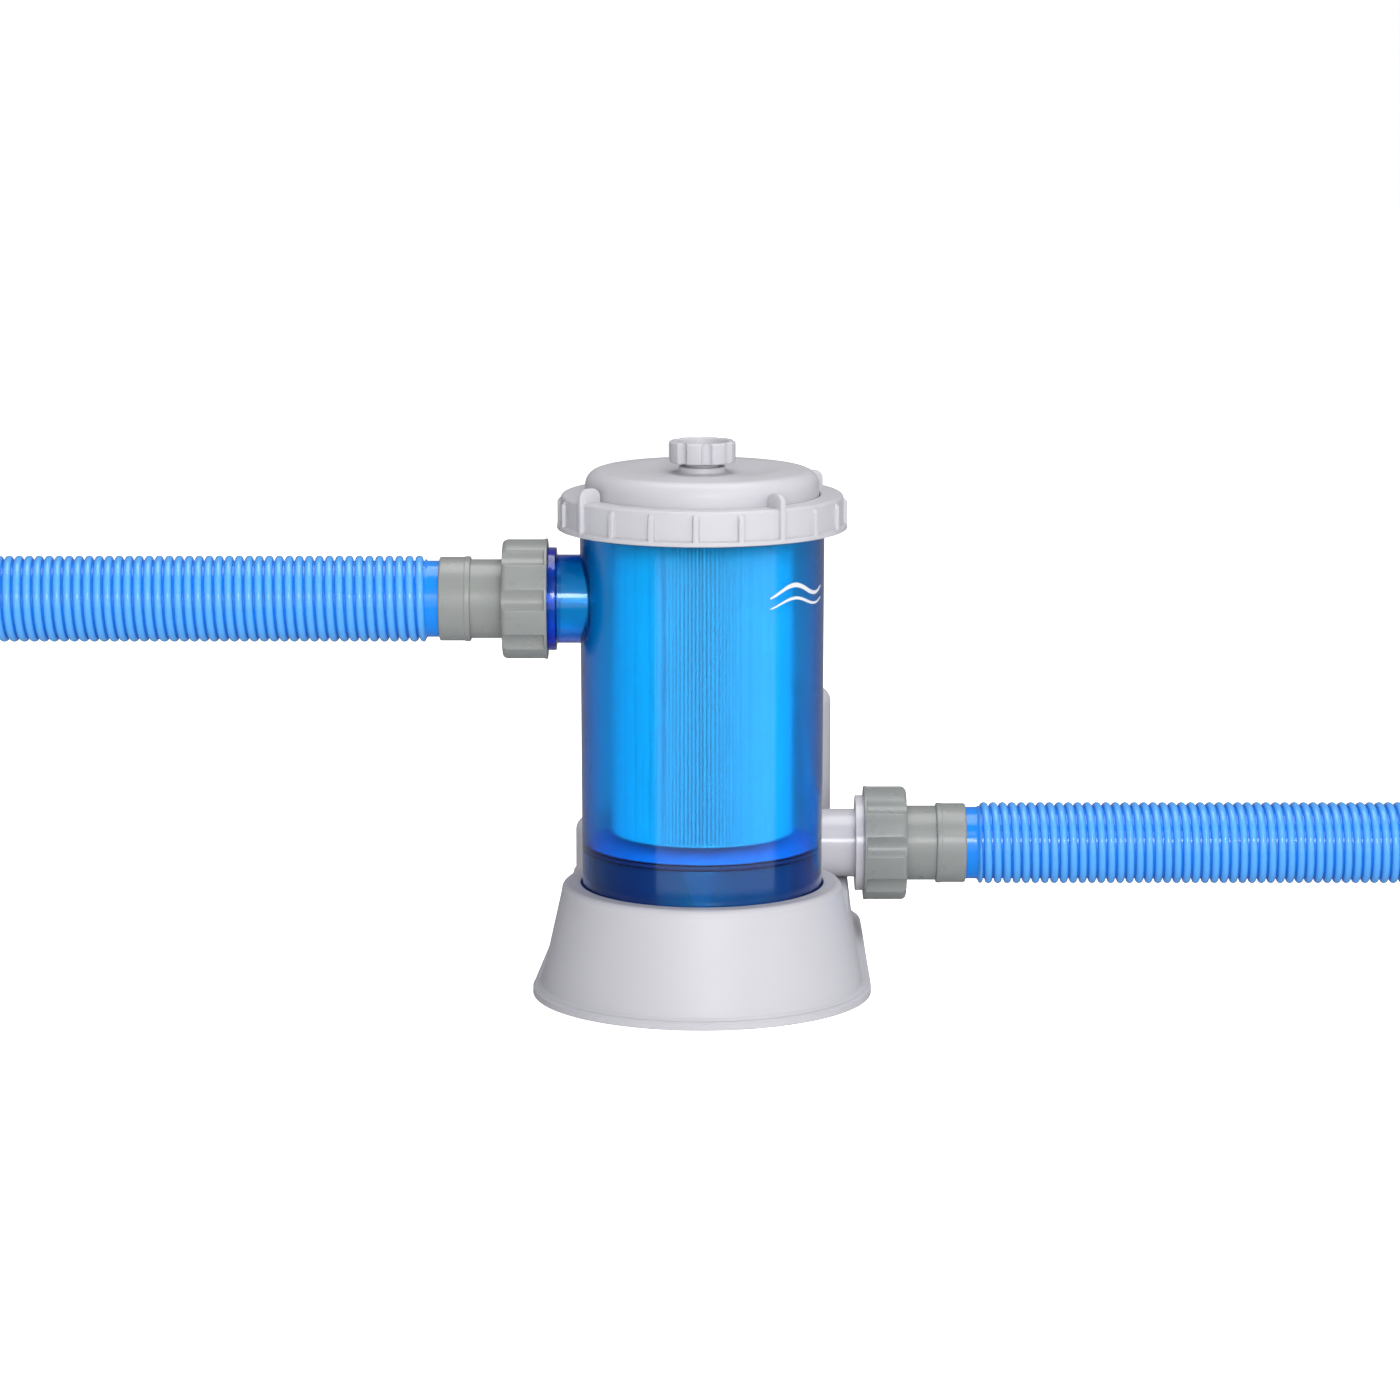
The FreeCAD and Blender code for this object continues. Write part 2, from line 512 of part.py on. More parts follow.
# ---- export -------------------------------------------------------------------------------------------------
os.makedirs("parts", exist_ok=True)
for maker in (canister, canister_seal, chamber_liner, cartridge_core, cartridge_media, lid_cover, lock_ring,
              valve_knob, valve_stem, valve_o_ring, base_shell, bottom_plate, base_screws, motor_housing,
              cable_gland, pump_casing, casing_seal, rotor_can, bearing_plate, rotor_shaft, impeller,
              rotor_magnet, stator_core, stator_coils, suction_duct, duct_o_ring):
    save(maker.__name__, maker())
save("cartridge_bottom_cap", cartridge_cap(SEAT_Z))
save("cartridge_top_cap", cartridge_cap(CART_TOP - CAP_THICK))
save("front_bush", bush(CASING_Z[1]))
save("rear_bush", bush(CAN_TOP_Z - 6.8))
port_set("inlet", -1, INLET_COLLAR_X + COLLAR_LONG, 0, INLET_Z)
port_set("outlet", 1, OUTLET_COLLAR_X + COLLAR_LONG, OUTLET_Y, OUTLET_Z)
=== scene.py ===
"""Looks of the cartridge filter pump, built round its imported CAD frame.

Lengths are millimetres until make() turns them into metres, and the stage's lengths are metres. A round
part is an outline of (radius, height, fillet) corners turned about Z. A part on a port is built along +Z
from one of its faces, and Along lays it on its CAD node.
"""
import json
import math
import random

import bmesh
import bpy
from mathutils import Matrix, Vector

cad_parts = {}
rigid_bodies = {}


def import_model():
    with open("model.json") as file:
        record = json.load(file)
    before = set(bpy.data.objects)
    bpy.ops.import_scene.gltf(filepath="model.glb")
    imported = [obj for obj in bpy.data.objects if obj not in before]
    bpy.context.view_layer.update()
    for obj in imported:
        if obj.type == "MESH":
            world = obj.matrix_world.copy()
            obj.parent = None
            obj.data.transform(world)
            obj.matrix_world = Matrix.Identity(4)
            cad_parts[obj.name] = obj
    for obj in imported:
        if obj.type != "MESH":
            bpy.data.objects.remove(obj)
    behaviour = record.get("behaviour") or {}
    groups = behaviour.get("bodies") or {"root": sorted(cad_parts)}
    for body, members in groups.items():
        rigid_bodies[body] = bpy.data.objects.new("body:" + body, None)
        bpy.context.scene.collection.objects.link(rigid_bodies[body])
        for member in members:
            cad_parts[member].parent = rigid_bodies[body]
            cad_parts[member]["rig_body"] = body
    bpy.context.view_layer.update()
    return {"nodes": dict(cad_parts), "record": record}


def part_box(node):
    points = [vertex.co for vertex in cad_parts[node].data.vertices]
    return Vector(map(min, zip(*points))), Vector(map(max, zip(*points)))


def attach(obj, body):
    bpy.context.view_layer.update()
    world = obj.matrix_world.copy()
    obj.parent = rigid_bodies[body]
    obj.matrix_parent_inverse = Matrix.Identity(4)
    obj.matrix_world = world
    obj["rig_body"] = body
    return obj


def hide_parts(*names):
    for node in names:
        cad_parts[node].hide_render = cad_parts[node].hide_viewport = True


MM = 0.001
WELD = 0.002
TAU = math.tau
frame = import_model()
NODES = frame["nodes"]
SLOT_OF = {s["node"]: s["material_slot"] for s in frame["record"]["subparts"]}
rng = random.Random(7)


def box(node):
    """Lowest and highest corner of a CAD node."""
    low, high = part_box(node)
    return low / MM, high / MM


# ---- outlines -----------------------------------------------------------------------------------------
def rounded(corners, steps=5):
    """Outline through (radius, height, fillet) corners, each fillet drawn as an arc."""
    points, count = [], len(corners)
    for i, (x, y, fillet) in enumerate(corners):
        corner = Vector((x, y))
        if not fillet:
            points.append(corner)
            continue
        before = Vector(corners[i - 1][:2]) - corner
        after = Vector(corners[(i + 1) % count][:2]) - corner
        half = before.angle(after) / 2
        back = min(fillet / math.tan(half), 0.49 * min(before.length, after.length))
        radius = back * math.tan(half)
        centre = corner + (before.normalized() + after.normalized()).normalized() * radius / math.sin(half)
        first = corner + before.normalized() * back - centre
        last = corner + after.normalized() * back - centre
        start = math.atan2(first.y, first.x)
        turn = (math.atan2(last.y, last.x) - start + math.pi) % TAU - math.pi
        for k in range(steps + 1):
            angle = start + turn * k / steps
            points.append(centre + radius * Vector((math.cos(angle), math.sin(angle))))
    return points


def soft_min(a, b, blend):
    """The lesser of two lengths, with a round change-over."""
    near = max(blend - abs(a - b), 0) / blend
    return min(a, b) - near * near * blend / 4


def even(count):
    return [TAU * k / count for k in range(count)]


EDGE_STEPS = (0, 0.22, 0.42, 0.6, 0.75, 0.87, 0.95, 1.0, 1.05, 1.13, 1.25)


def crowded(count, start, edge, between=4):
    """Angles for count like features round a circle, close together where a feature ends at edge."""
    half = math.pi / count
    inner = [edge * f for f in EDGE_STEPS]
    outer = [inner[-1] + (half - inner[-1]) * (k + 1) / between for k in range(between)]
    offsets = sorted({-o for o in inner[1:] + outer[:-1]} | set(inner + outer))
    return [start + 2 * half * k + o for k in range(count) for o in offsets]


def from_middle(angle, count, start):
    """Angle from the middle of the nearest of count features."""
    sector = TAU / count
    return (angle - start + sector / 2) % sector - sector / 2


def lathe(outline, angles, shape=None):
    """An outline turned about Z; shape(radius, height, angle) may give another radius."""
    verts, faces = [], []
    rows, columns = len(outline), len(angles)
    for angle in angles:
        c, s = math.cos(angle), math.sin(angle)
        for x, z in outline:
            r = shape(x, z, angle) if shape else x
            verts.append((r * c, r * s, z))
    for i in range(columns):
        a, b = i * rows, (i + 1) % columns * rows
        for k in range(rows):
            n = (k + 1) % rows
            faces.append((a + k, b + k, b + n, a + n))
    return verts, faces


# ---- placing ------------------------------------------------------------------------------------------
class Along:
    """Lays a part built along +Z on a CAD node whose axis is X, facing +X or -X."""

    def __init__(self, node, facing):
        low, high = box(node)
        self.facing = facing
        self.length = high.x - low.x
        self.radius = (high.z - low.z) / 2
        self.start = Vector((low.x if facing > 0 else high.x, (low.y + high.y) / 2, (low.z + high.z) / 2))
        self.matrix = Matrix.Translation(self.start) @ Matrix.Rotation(math.pi / 2, 4, "Y")
        if facing < 0:
            self.matrix = Matrix.Translation(self.start) @ Matrix.Rotation(math.pi, 4, "Z") \
                @ Matrix.Rotation(math.pi / 2, 4, "Y")


def make(node, mesh_data, matrix=None, crease=35, detail=None):
    """A piece that stands for a CAD node and rides on its body.

    A detail is an extra piece on the node, named after its own material, which it takes in place of the
    node's."""
    verts, faces = mesh_data
    name = detail or node + "_form"
    mesh = bpy.data.meshes.new(name)
    mesh.from_pydata([Vector(v) for v in verts], [], faces)
    if matrix:
        mesh.transform(matrix)
    mesh.transform(Matrix.Scale(MM, 4))
    work = bmesh.new()
    work.from_mesh(mesh)
    bmesh.ops.remove_doubles(work, verts=work.verts, dist=WELD * MM)
    bmesh.ops.dissolve_degenerate(work, edges=work.edges, dist=WELD * MM)
    bmesh.ops.recalc_face_normals(work, faces=work.faces)
    work.to_mesh(mesh)
    work.free()
    mesh.shade_smooth()
    mesh.set_sharp_from_angle(angle=math.radians(crease))
    piece = bpy.data.objects.new(name, mesh)
    bpy.context.scene.collection.objects.link(piece)
    mesh.materials.append(MATERIALS[detail or SLOT_OF[node]])
    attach(piece, NODES[node]["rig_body"])
    if not detail:
        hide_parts(node)
    return piece


# ---- materials ----------------------------------------------------------------------------------------
MIX_SHARE, MIX_A, MIX_B, MIX_COLOUR = 0, 6, 7, 2   # sockets of a Mix node that mixes colours
TONE_DRIFT, GLOSS_DRIFT, GLOSS_RANGE = 40, 9, 0.04


def srgb(*levels):
    """Linear colour from 0-255 display levels."""
    parts = [v / 255 for v in levels]
    return [v / 12.92 if v <= 0.04045 else ((v + 0.055) / 1.055) ** 2.4 for v in parts] + [1.0]


def noise(tree, place, size, detail=2.0):
    """Noise whose features are about this many millimetres across."""
    node = tree.nodes.new("ShaderNodeTexNoise")
    node.inputs["Scale"].default_value = 1 / (size * MM)
    node.inputs["Detail"].default_value = detail
    tree.links.new(place.outputs["Object"], node.inputs["Vector"])
    return node.outputs["Fac"]


def spread(tree, value, low, high):
    """The middle range of a noise, stretched to run from low to high."""
    node = tree.nodes.new("ShaderNodeMapRange")
    node.inputs["From Min"].default_value, node.inputs["From Max"].default_value = 0.3, 0.7
    node.inputs["To Min"].default_value, node.inputs["To Max"].default_value = low, high
    tree.links.new(value, node.inputs["Value"])
    return node.outputs["Result"]


def finish(name, colour, rough, grain=0.8, relief=0.02, mottle=0.02, metal=0.0, edge=0.0, painted_lit_colour=None):
    """Moulded or machined surface: fine grain with its size and relief, and a slow drift of tone and gloss.

    edge rounds a CAD node's corners in the shading. The last colour argument is painted light, used where
    the mesh attribute
    "high" is 1, and colour is painted shade where it is 0, so hollows come out darker than crests and tips."""
    material = bpy.data.materials.new(name)
    material.use_nodes = True
    tree = material.node_tree
    shader = tree.nodes["Principled BSDF"]
    place = tree.nodes.new("ShaderNodeTexCoord")
    tone = tree.nodes.new("ShaderNodeMix")
    tone.data_type = "RGBA"
    tone.blend_type = "MULTIPLY"
    tone.inputs[MIX_SHARE].default_value = 1.0
    shade = tree.nodes.new("ShaderNodeCombineColor")
    level = spread(tree, noise(tree, place, TONE_DRIFT, 3), 1 - mottle, 1.0)
    for channel in ("Red", "Green", "Blue"):
        tree.links.new(level, shade.inputs[channel])
    tone.inputs[MIX_A].default_value = colour
    tree.links.new(shade.outputs[0], tone.inputs[MIX_B])
    # painted light and shade: mix from the hollows' painted shade colour to the painted lit colour by the
    # attribute "high"
    if painted_lit_colour:
        height = tree.nodes.new("ShaderNodeAttribute")
        height.attribute_name = "high"
        painted_shade_mix = tree.nodes.new("ShaderNodeMix")
        painted_shade_mix.data_type = "RGBA"
        painted_shade_mix.inputs[MIX_A].default_value, painted_shade_mix.inputs[MIX_B].default_value = colour, painted_lit_colour
        tree.links.new(height.outputs["Fac"], painted_shade_mix.inputs[MIX_SHARE])
        tree.links.new(painted_shade_mix.outputs[MIX_COLOUR], tone.inputs[MIX_A])
    tree.links.new(tone.outputs[MIX_COLOUR], shader.inputs["Base Color"])
    gloss = spread(tree, noise(tree, place, GLOSS_DRIFT, 4), rough - GLOSS_RANGE, rough + GLOSS_RANGE)
    tree.links.new(gloss, shader.inputs["Roughness"])
    shader.inputs["Metallic"].default_value = metal
    bump = tree.nodes.new("ShaderNodeBump")
    bump.inputs["Strength"].default_value = 0.8
    bump.inputs["Distance"].default_value = relief * MM
    tree.links.new(noise(tree, place, grain, 2), bump.inputs["Height"])
    if edge:
        bevel = tree.nodes.new("ShaderNodeBevel")
        bevel.samples = 4
        bevel.inputs["Radius"].default_value = edge * MM
        tree.links.new(bevel.outputs["Normal"], bump.inputs["Normal"])
    tree.links.new(bump.outputs["Normal"], shader.inputs["Normal"])
    return material


def clear_plastic(name, through, wall, haze, rough):
    """See-through plastic whose tint deepens with its thickness; through is what one wall lets by.

    haze blurs what lies behind it and rough is how soft its own reflections are. Shadow rays go straight
    through, so that the lamps light what is inside."""
    material = bpy.data.materials.new(name)
    material.use_nodes = True
    tree = material.node_tree
    shader = tree.nodes["Principled BSDF"]
    shader.inputs["Base Color"].default_value = (1, 1, 1, 1)
    shader.inputs["Transmission Weight"].default_value = 1.0
    shader.inputs["Roughness"].default_value = haze
    shader.inputs["IOR"].default_value = 1.2
    shader.inputs["Coat Weight"].default_value = 1.0
    shader.inputs["Coat IOR"].default_value = 1.5
    shader.inputs["Coat Roughness"].default_value = rough
    shadow = tree.nodes.new("ShaderNodeBsdfTransparent")
    shadow.inputs["Color"].default_value = (0.97, 0.97, 0.97, 1)
    path = tree.nodes.new("ShaderNodeLightPath")
    mix = tree.nodes.new("ShaderNodeMixShader")
    tree.links.new(path.outputs["Is Shadow Ray"], mix.inputs["Fac"])
    tree.links.new(shader.outputs[0], mix.inputs[1])
    tree.links.new(shadow.outputs[0], mix.inputs[2])
    out = tree.nodes["Material Output"]
    tree.links.new(mix.outputs[0], out.inputs["Surface"])
    taken = [-math.log(t) / (wall * MM) for t in through]
    inside = tree.nodes.new("ShaderNodeVolumeAbsorption")
    inside.inputs["Density"].default_value = max(taken)
    inside.inputs["Color"].default_value = [1 - t / max(taken) for t in taken] + [1.0]
    tree.links.new(inside.outputs[0], out.inputs["Volume"])
    return material


MATERIALS = {
    "shell_grey": finish("moulded_grey", srgb(190, 189, 195), 0.42, relief=0.012, edge=0.8),
    "plate_grey": finish("plate_grey", srgb(120, 120, 124), 0.5, edge=0.5),
    "canister_blue": clear_plastic("clear_blue", (0.015, 0.66, 0.95), 3.0, 0.22, 0.12),
    "seal_rubber": finish("seal_rubber", srgb(28, 28, 30), 0.55),
    # paper painted bluish grey in its folds' hollows as painted shade, white at the tips
    "media_white": finish("pleated_paper", srgb(214, 220, 230), 0.8, grain=0.5, relief=0.05, mottle=0.04,
                          painted_lit_colour=srgb(248, 249, 250)),
    "cap_white": finish("cap_white", srgb(238, 238, 236), 0.5, edge=0.6),
    "union_grey": finish("union_grey", srgb(138, 141, 139), 0.3, grain=0.9, relief=0.018, edge=0.4),
    # hose painted deeper blue in its valleys and paler on its crests: painted shade and painted highlight
    "hose_blue": finish("hose_blue", srgb(24, 132, 230), 0.18, grain=2.0, relief=0.01,
                        painted_lit_colour=srgb(88, 166, 238)),
    "screw_steel": finish("screw_steel", srgb(170, 172, 175), 0.3, metal=1.0),
    "lamination_steel": finish("lamination_steel", srgb(110, 112, 118), 0.4, metal=1.0),
    "winding_copper": finish("winding_copper", srgb(190, 110, 60), 0.35, metal=1.0),
    "magnet_ferrite": finish("magnet_ferrite", srgb(45, 45, 48), 0.6),
    "bearing_ceramic": finish("bearing_ceramic", srgb(225, 224, 218), 0.3),
    "pump_plastic": finish("pump_plastic", srgb(60, 62, 66), 0.45, edge=0.4),
    "liner_navy": finish("liner_navy", srgb(63, 54, 104), 0.5),
    "key_blue": finish("key_blue", srgb(92, 44, 104), 0.4),
    "floor_blue": finish("floor_blue", srgb(60, 185, 255), 0.4),
    "seal_navy": finish("seal_navy", srgb(62, 26, 98), 0.5),
    # the outlet pipe's paler grey is painted light for the canister's shade on it; its lower roughness is
    # its own finish
    "pipe_grey_painted_light": finish("pipe_grey_painted_light", srgb(205, 203, 207), 0.2, relief=0.006, edge=0.4),
    "mark_white": finish("mark_white", srgb(225, 228, 232), 0.4),
}
OWN_FINISH = {"pump_casing": "pipe_grey_painted_light"}  # its outlet pipe is glossier than the shells, and paler as painted light that makes up for the canister's shade on it
for node_name, node in NODES.items():
    node.data.materials.clear()
    node.data.materials.append(MATERIALS[OWN_FINISH.get(node_name, SLOT_OF[node_name])])


# ---- unions -------------------------------------------------------------------------------------------
UNION_COLUMNS, HOSE_BORE = 96, 19.0
NUT_FLUTES, FLUTE_HALF, FLUTE_TURN = 8, math.radians(10), math.radians(7)
FLUTE_CUT_R, FLUTE_BLEND = 9.0, 0.35
NUT_LIP, NUT_BORE, NUT_NECK, NUT_BACK = 1.6, 28.9, 22.45, 3.5
THREAD_END, THREAD_RELIEF = 16.5, 0.7
CUFF_RIM, CUFF_STEP, CUFF_SLOPE = 3.2, 0.3, 0.25
TAIL_FLANGE, TAIL_NECK_END = 3.1, 24.6
TAIL_BORE, TAIL_NECK, TAIL_BARB = 16.0, 22.4, 18.9


def flute_radius(offset, half, cut_r, outer_r):
    """Radius of a round groove at an angle from its middle; at outer_r the groove reaches half each way."""
    centre = outer_r * math.cos(half) + math.sqrt(cut_r ** 2 - (outer_r * math.sin(half)) ** 2)
    inside = cut_r ** 2 - (centre * math.sin(offset)) ** 2
    return centre * math.cos(offset) - math.sqrt(inside) if inside > 0 else outer_r + 1


def union_nut(lay):
    """Fluted nut with a plain lip round its mouth and a neck behind the tailpiece's flange."""
    r, end = lay.radius, lay.length
    back, relief_r = end - NUT_BACK, NUT_BORE + THREAD_RELIEF
    outline = rounded([(NUT_BORE, 0, 0.3), (r, 0, 0.5), (r, NUT_LIP - 0.1, 0), (r, NUT_LIP + 0.15, 0),
                       (r, end / 2, 0), (r, end, 3.2), (NUT_NECK, end, 0.6), (NUT_NECK, back, 0),
                       (relief_r, back, 0), (relief_r, THREAD_END, 0), (NUT_BORE, THREAD_END, 0)], steps=7)
    start = -FLUTE_TURN * lay.facing

    def shape(x, z, angle):
        if x < NUT_BORE + 1 or z < NUT_LIP:
            return x
        offset = from_middle(angle, NUT_FLUTES, start)
        return soft_min(x, flute_radius(offset, FLUTE_HALF, FLUTE_CUT_R, r), FLUTE_BLEND)

    return lathe(outline, crowded(NUT_FLUTES, start, FLUTE_HALF), shape)


def hose_cuff(lay):
    """Sleeve over the hose's plain end, with a slightly wider rim."""
    r, body_r, end = lay.radius, lay.radius - CUFF_STEP, lay.length
    return lathe(rounded([(HOSE_BORE, 0, 0), (r, 0, 0.9), (r, CUFF_RIM, 0.2),
                          (body_r, CUFF_RIM + CUFF_SLOPE, 0.2), (body_r, end, 1.2), (HOSE_BORE, end, 0)]),
                 even(UNION_COLUMNS))


def tailpiece(lay):
    """Flanged stub that the nut pulls onto the port, thinner where the hose goes over it."""
    r, end = lay.radius, lay.length
    return lathe(rounded([(TAIL_BORE, 0, 0.5), (r, 0, 0.4), (r, TAIL_FLANGE, 0.4),
                          (TAIL_NECK, TAIL_FLANGE, 0.8), (TAIL_NECK, TAIL_NECK_END, 0),
                          (TAIL_BARB, TAIL_NECK_END, 0), (TAIL_BARB, end, 1.0), (TAIL_BORE, end, 0.5)]),
                 even(UNION_COLUMNS))


# ---- hoses --------------------------------------------------------------------------------------------
ROOT_R, PITCH, PLAIN_END = 21.65, 5.67, 6.7
CREST_SHARE, CREST_POWER, CREST_STEPS = 0.84, 0.75, 11
HOSE_COLUMNS, ROUTE_STEPS = 84, 6


def one_pitch():
    """(place in the pitch, height 0 to 1) along one turn of the corrugation: a round crest, then a flat."""
    points = []
    for k in range(CREST_STEPS + 1):
        angle = math.pi * k / CREST_STEPS
        points.append((0.5 - CREST_SHARE / 2 * math.cos(angle), math.sin(angle) ** CREST_POWER))
    flat = 1 - CREST_SHARE
    return points + [(points[-1][0] + flat * f, 0.0) for f in (0.3, 0.7)]


def hose(lay):
    """A right-hand corrugation whose rows of points follow the helix; they pile up at the plain ends."""
    end, turn = lay.length, one_pitch()
    turns = range(-1, math.ceil(end / PITCH))
    rows = [(PITCH * (n + place), height) for n in turns for place, height in turn]
    rows = [(-PITCH, 0.0)] + rows + [(end + PITCH, 0.0)]
    last, step = len(rows) - 1, len(turn)
    verts, faces = [], []
    for i in range(HOSE_COLUMNS):
        angle = TAU * i / HOSE_COLUMNS
        for along, height in rows:
            z = min(max(along + PITCH * i / HOSE_COLUMNS, 0), end)
            fade = min(max((min(z, end - z) - PLAIN_END) / (PITCH / 3), 0), 1)
            r = ROOT_R + (lay.radius - ROOT_R) * height * fade * fade * (3 - 2 * fade)
            verts.append((r * math.cos(angle), r * math.sin(angle), z))
        for z in (end, 0):
            verts.append((HOSE_BORE * math.cos(angle), HOSE_BORE * math.sin(angle), z))
    ring = len(rows) + 2

    def index(column, row):
        """The last column meets the first one a pitch further on, as the helix has climbed by one turn."""
        if row > last or column < HOSE_COLUMNS:
            return column % HOSE_COLUMNS * ring + row
        return min(row + step, last)

    for i in range(HOSE_COLUMNS):
        for k in range(ring):
            n = (k + 1) % ring
            corners = (index(i, k), index(i + 1, k), index(i + 1, n), index(i, n))
            if len(set(corners)) > 2:
                faces.append(tuple(dict.fromkeys(corners)))
    return verts, faces


# Stores a 0 to 1 height as the attribute "high", which a finish turns into painted light and shade.
def mark_painted_shade(piece, height):
    layer = piece.data.attributes.new("high", "FLOAT", "POINT")
    for i, vertex in enumerate(piece.data.vertices):
        layer.data[i].value = min(max(height(vertex.co / MM), 0), 1)


def port_set(prefix, facing):
    """Everything on one port: union, cuff, hose, and the same union at the hose's far end."""
    for part, shaper in (("union_nut", union_nut), ("tailpiece", tailpiece), ("hose_cuff", hose_cuff)):
        lay = Along("%s_%s" % (prefix, part), facing)
        make("%s_%s" % (prefix, part), shaper(lay), lay.matrix)
        lay = Along("%s_far_%s" % (prefix, part), -facing)
        make("%s_far_%s" % (prefix, part), shaper(lay), lay.matrix)
    lay = Along(prefix + "_hose", facing)
    tube = make(prefix + "_hose", hose(lay), lay.matrix, crease=60)
    # Height over the corrugation's root: crests are painted lighter and valleys darker, as painted light
    # and shade.
    mark_painted_shade(tube, lambda p: (math.hypot(p.y - lay.start.y, p.z - lay.start.z) - ROOT_R)
                / (lay.radius - ROOT_R))


port_set("inlet", -1)
port_set("outlet", 1)


# ---- cartridge ----------------------------------------------------------------------------------------
PLEATS, PLEAT_COLUMNS, PLEAT_ROWS = 156, 8, 12
PLEAT_DEEP, PLEAT_OVERLAP, PLEAT_LEAN, TIP_GAP = 7.0, 3.4, 1.6, 0.2
PLEAT_SHADE = 5.5              # how far below the tips the folds' painted shade is at its darkest
SEAM_ANGLE, SEAM_DROP = math.radians(-119), 5.5
CAP_HOLE, CAP_TRIM, CAP_INSET = 13.5, 1.6, 9.5
CAP_LIP, CAP_DISH, CAP_COLUMNS = 0.7, 1.2, 160


def pleat_plan():
    """Where each fold starts round the circle, how far its tip sinks, and the waves that lean the folds.

    The folds are uneven in width, a few are sunk, and the one at the paper's seam is sunk most."""
    widths = [1 + rng.uniform(-0.22, 0.22) for _ in range(PLEATS)]
    drops = [max(0.0, rng.gauss(0.1, 0.35)) + (rng.uniform(1, 2.6) if rng.random() < 0.07 else 0)
             for _ in range(PLEATS)]
    starts = [TAU * sum(widths[:k]) / sum(widths) for k in range(PLEATS + 1)]
    drops[min(range(PLEATS), key=lambda k: abs(starts[k] - SEAM_ANGLE % TAU))] = SEAM_DROP
    waves = [(rng.randint(2, 17), rng.uniform(0, TAU), rng.uniform(0.2, 1.0)) for _ in range(9)]
    return starts, drops, waves


def pleated_media():
    """Paper folded in and out round the core, its ends running a little way into the caps."""
    low, high = box("cartridge_media")
    tip_r, core_r = (high.x - low.x) / 2, box("cartridge_core")[1].x
    foot, tall = low.z - PLEAT_OVERLAP, high.z - low.z + 2 * PLEAT_OVERLAP
    starts, drops, waves = pleat_plan()
    verts, faces = [], []
    rows = PLEAT_ROWS + 1
    for pleat in range(PLEATS):
        for column in range(PLEAT_COLUMNS):
            part = column / PLEAT_COLUMNS
            angle = starts[pleat] + (starts[pleat + 1] - starts[pleat]) * part
            fold = math.sqrt(math.sin(math.pi * part))
            lean = sum(a * math.sin(n * angle + p) for n, p, a in waves) / 3
            for row in range(rows):
                share = row / PLEAT_ROWS
                sunk = drops[pleat] * fold * (0.35 + 0.65 * math.sin(math.pi * share))
                r = tip_r - TIP_GAP - sunk - PLEAT_DEEP * (1 - fold)
                turn = angle + lean * (share - 0.5) * PLEAT_LEAN / tip_r
                verts.append((r * math.cos(turn), r * math.sin(turn), foot + tall * share))
            for z in (foot + tall, foot):
                verts.append((core_r * math.cos(angle), core_r * math.sin(angle), z))
    total, ring = PLEATS * PLEAT_COLUMNS, rows + 2
    for i in range(total):
        a, b = i * ring, (i + 1) % total * ring
        for k in range(ring):
            n = (k + 1) % ring
            faces.append((a + k, b + k, b + n, a + n))
    return verts, faces


def end_cap(node, outward):
    """Moulded cap: a disc let in between the folds' ends, with a lip over them and a dished middle."""
    low, high = box(node)
    r = (high.x - low.x) / 2 - CAP_TRIM
    face, back = (high.z, low.z) if outward > 0 else (low.z, high.z)
    lip, dish = face - outward * CAP_LIP, face - outward * CAP_DISH
    return lathe(rounded([(CAP_HOLE, back, 0), (r - CAP_INSET, back, 0.3), (r - CAP_INSET, lip, 0),
                          (r, lip, 0.3), (r, face, 0.3), (CAP_HOLE + 5, face, 0.6),
                          (CAP_HOLE + 4, dish, 0.6), (CAP_HOLE, dish, 0.5)]), even(CAP_COLUMNS))


media = make("cartridge_media", pleated_media(), crease=50)
media_r = (box("cartridge_media")[1].x - box("cartridge_media")[0].x) / 2
# The folds' hollows, and the sunk tips, are painted darker than the tips: painted shade.
mark_painted_shade(media, lambda p: 1 - (media_r - math.hypot(p.x, p.y)) / PLEAT_SHADE)
make("cartridge_top_cap", end_cap("cartridge_top_cap", 1))
make("cartridge_bottom_cap", end_cap("cartridge_bottom_cap", -1))


# ---- canister -----------------------------------------------------------------------------------------
WALL, FOOT_R, TOP_R = 3.0, 68.4, 69.2
INSIDE_R, FOOT_IN = TOP_R - WALL, FOOT_R - WALL
SHOULDER_Z, SHOULDER, FLOOR_Z = 266.0, 6.0, 87.0
SEAL_IN, SEAL_OUT, SEAL_DEEP = 71.5, 73.9, 2.0
SPIGOT_TOP, SPIGOT_FOOT = 106.0, 62.0
SEAT_R, SPIGOT_R, SPIGOT_BORE = 20.0, 13.2, 10.5
PIPE_R, PIPE_BORE, PIPE_ROOT = 25.1, 21.2, 62.0
COLLAR_R, COLLAR, THREAD_R, THREAD = 29.2, 5.0, 28.65, 16.9
CORE_R, CORE_FOOT, CORE_TOP = INSIDE_R - 0.6, 200, 255
BORE_IN, BORE_OUT = -50, 30
WALL_COLUMNS, PORT_COLUMNS, BORE_COLUMNS = 192, 128, 96


def solid(mesh_data, matrix=None):
    """A loose mesh object for joining, in millimetres."""
    mesh = bpy.data.meshes.new("tool")
    mesh.from_pydata([Vector(v) for v in mesh_data[0]], [], mesh_data[1])
    if matrix:
        mesh.transform(matrix)
    work = bmesh.new()
    work.from_mesh(mesh)
    bmesh.ops.remove_doubles(work, verts=work.verts, dist=0.001)
    bmesh.ops.recalc_face_normals(work, faces=work.faces)
    work.to_mesh(mesh)
    work.free()
    tool = bpy.data.objects.new("tool", mesh)
    bpy.context.scene.collection.objects.link(tool)
    return tool


def rod(radius, start, end, columns, matrix=None):
    corners = [(0, start, 0), (radius, start, 0), (radius, end, 0), (0, end, 0)]
    return solid(lathe(rounded(corners), even(columns)), matrix)


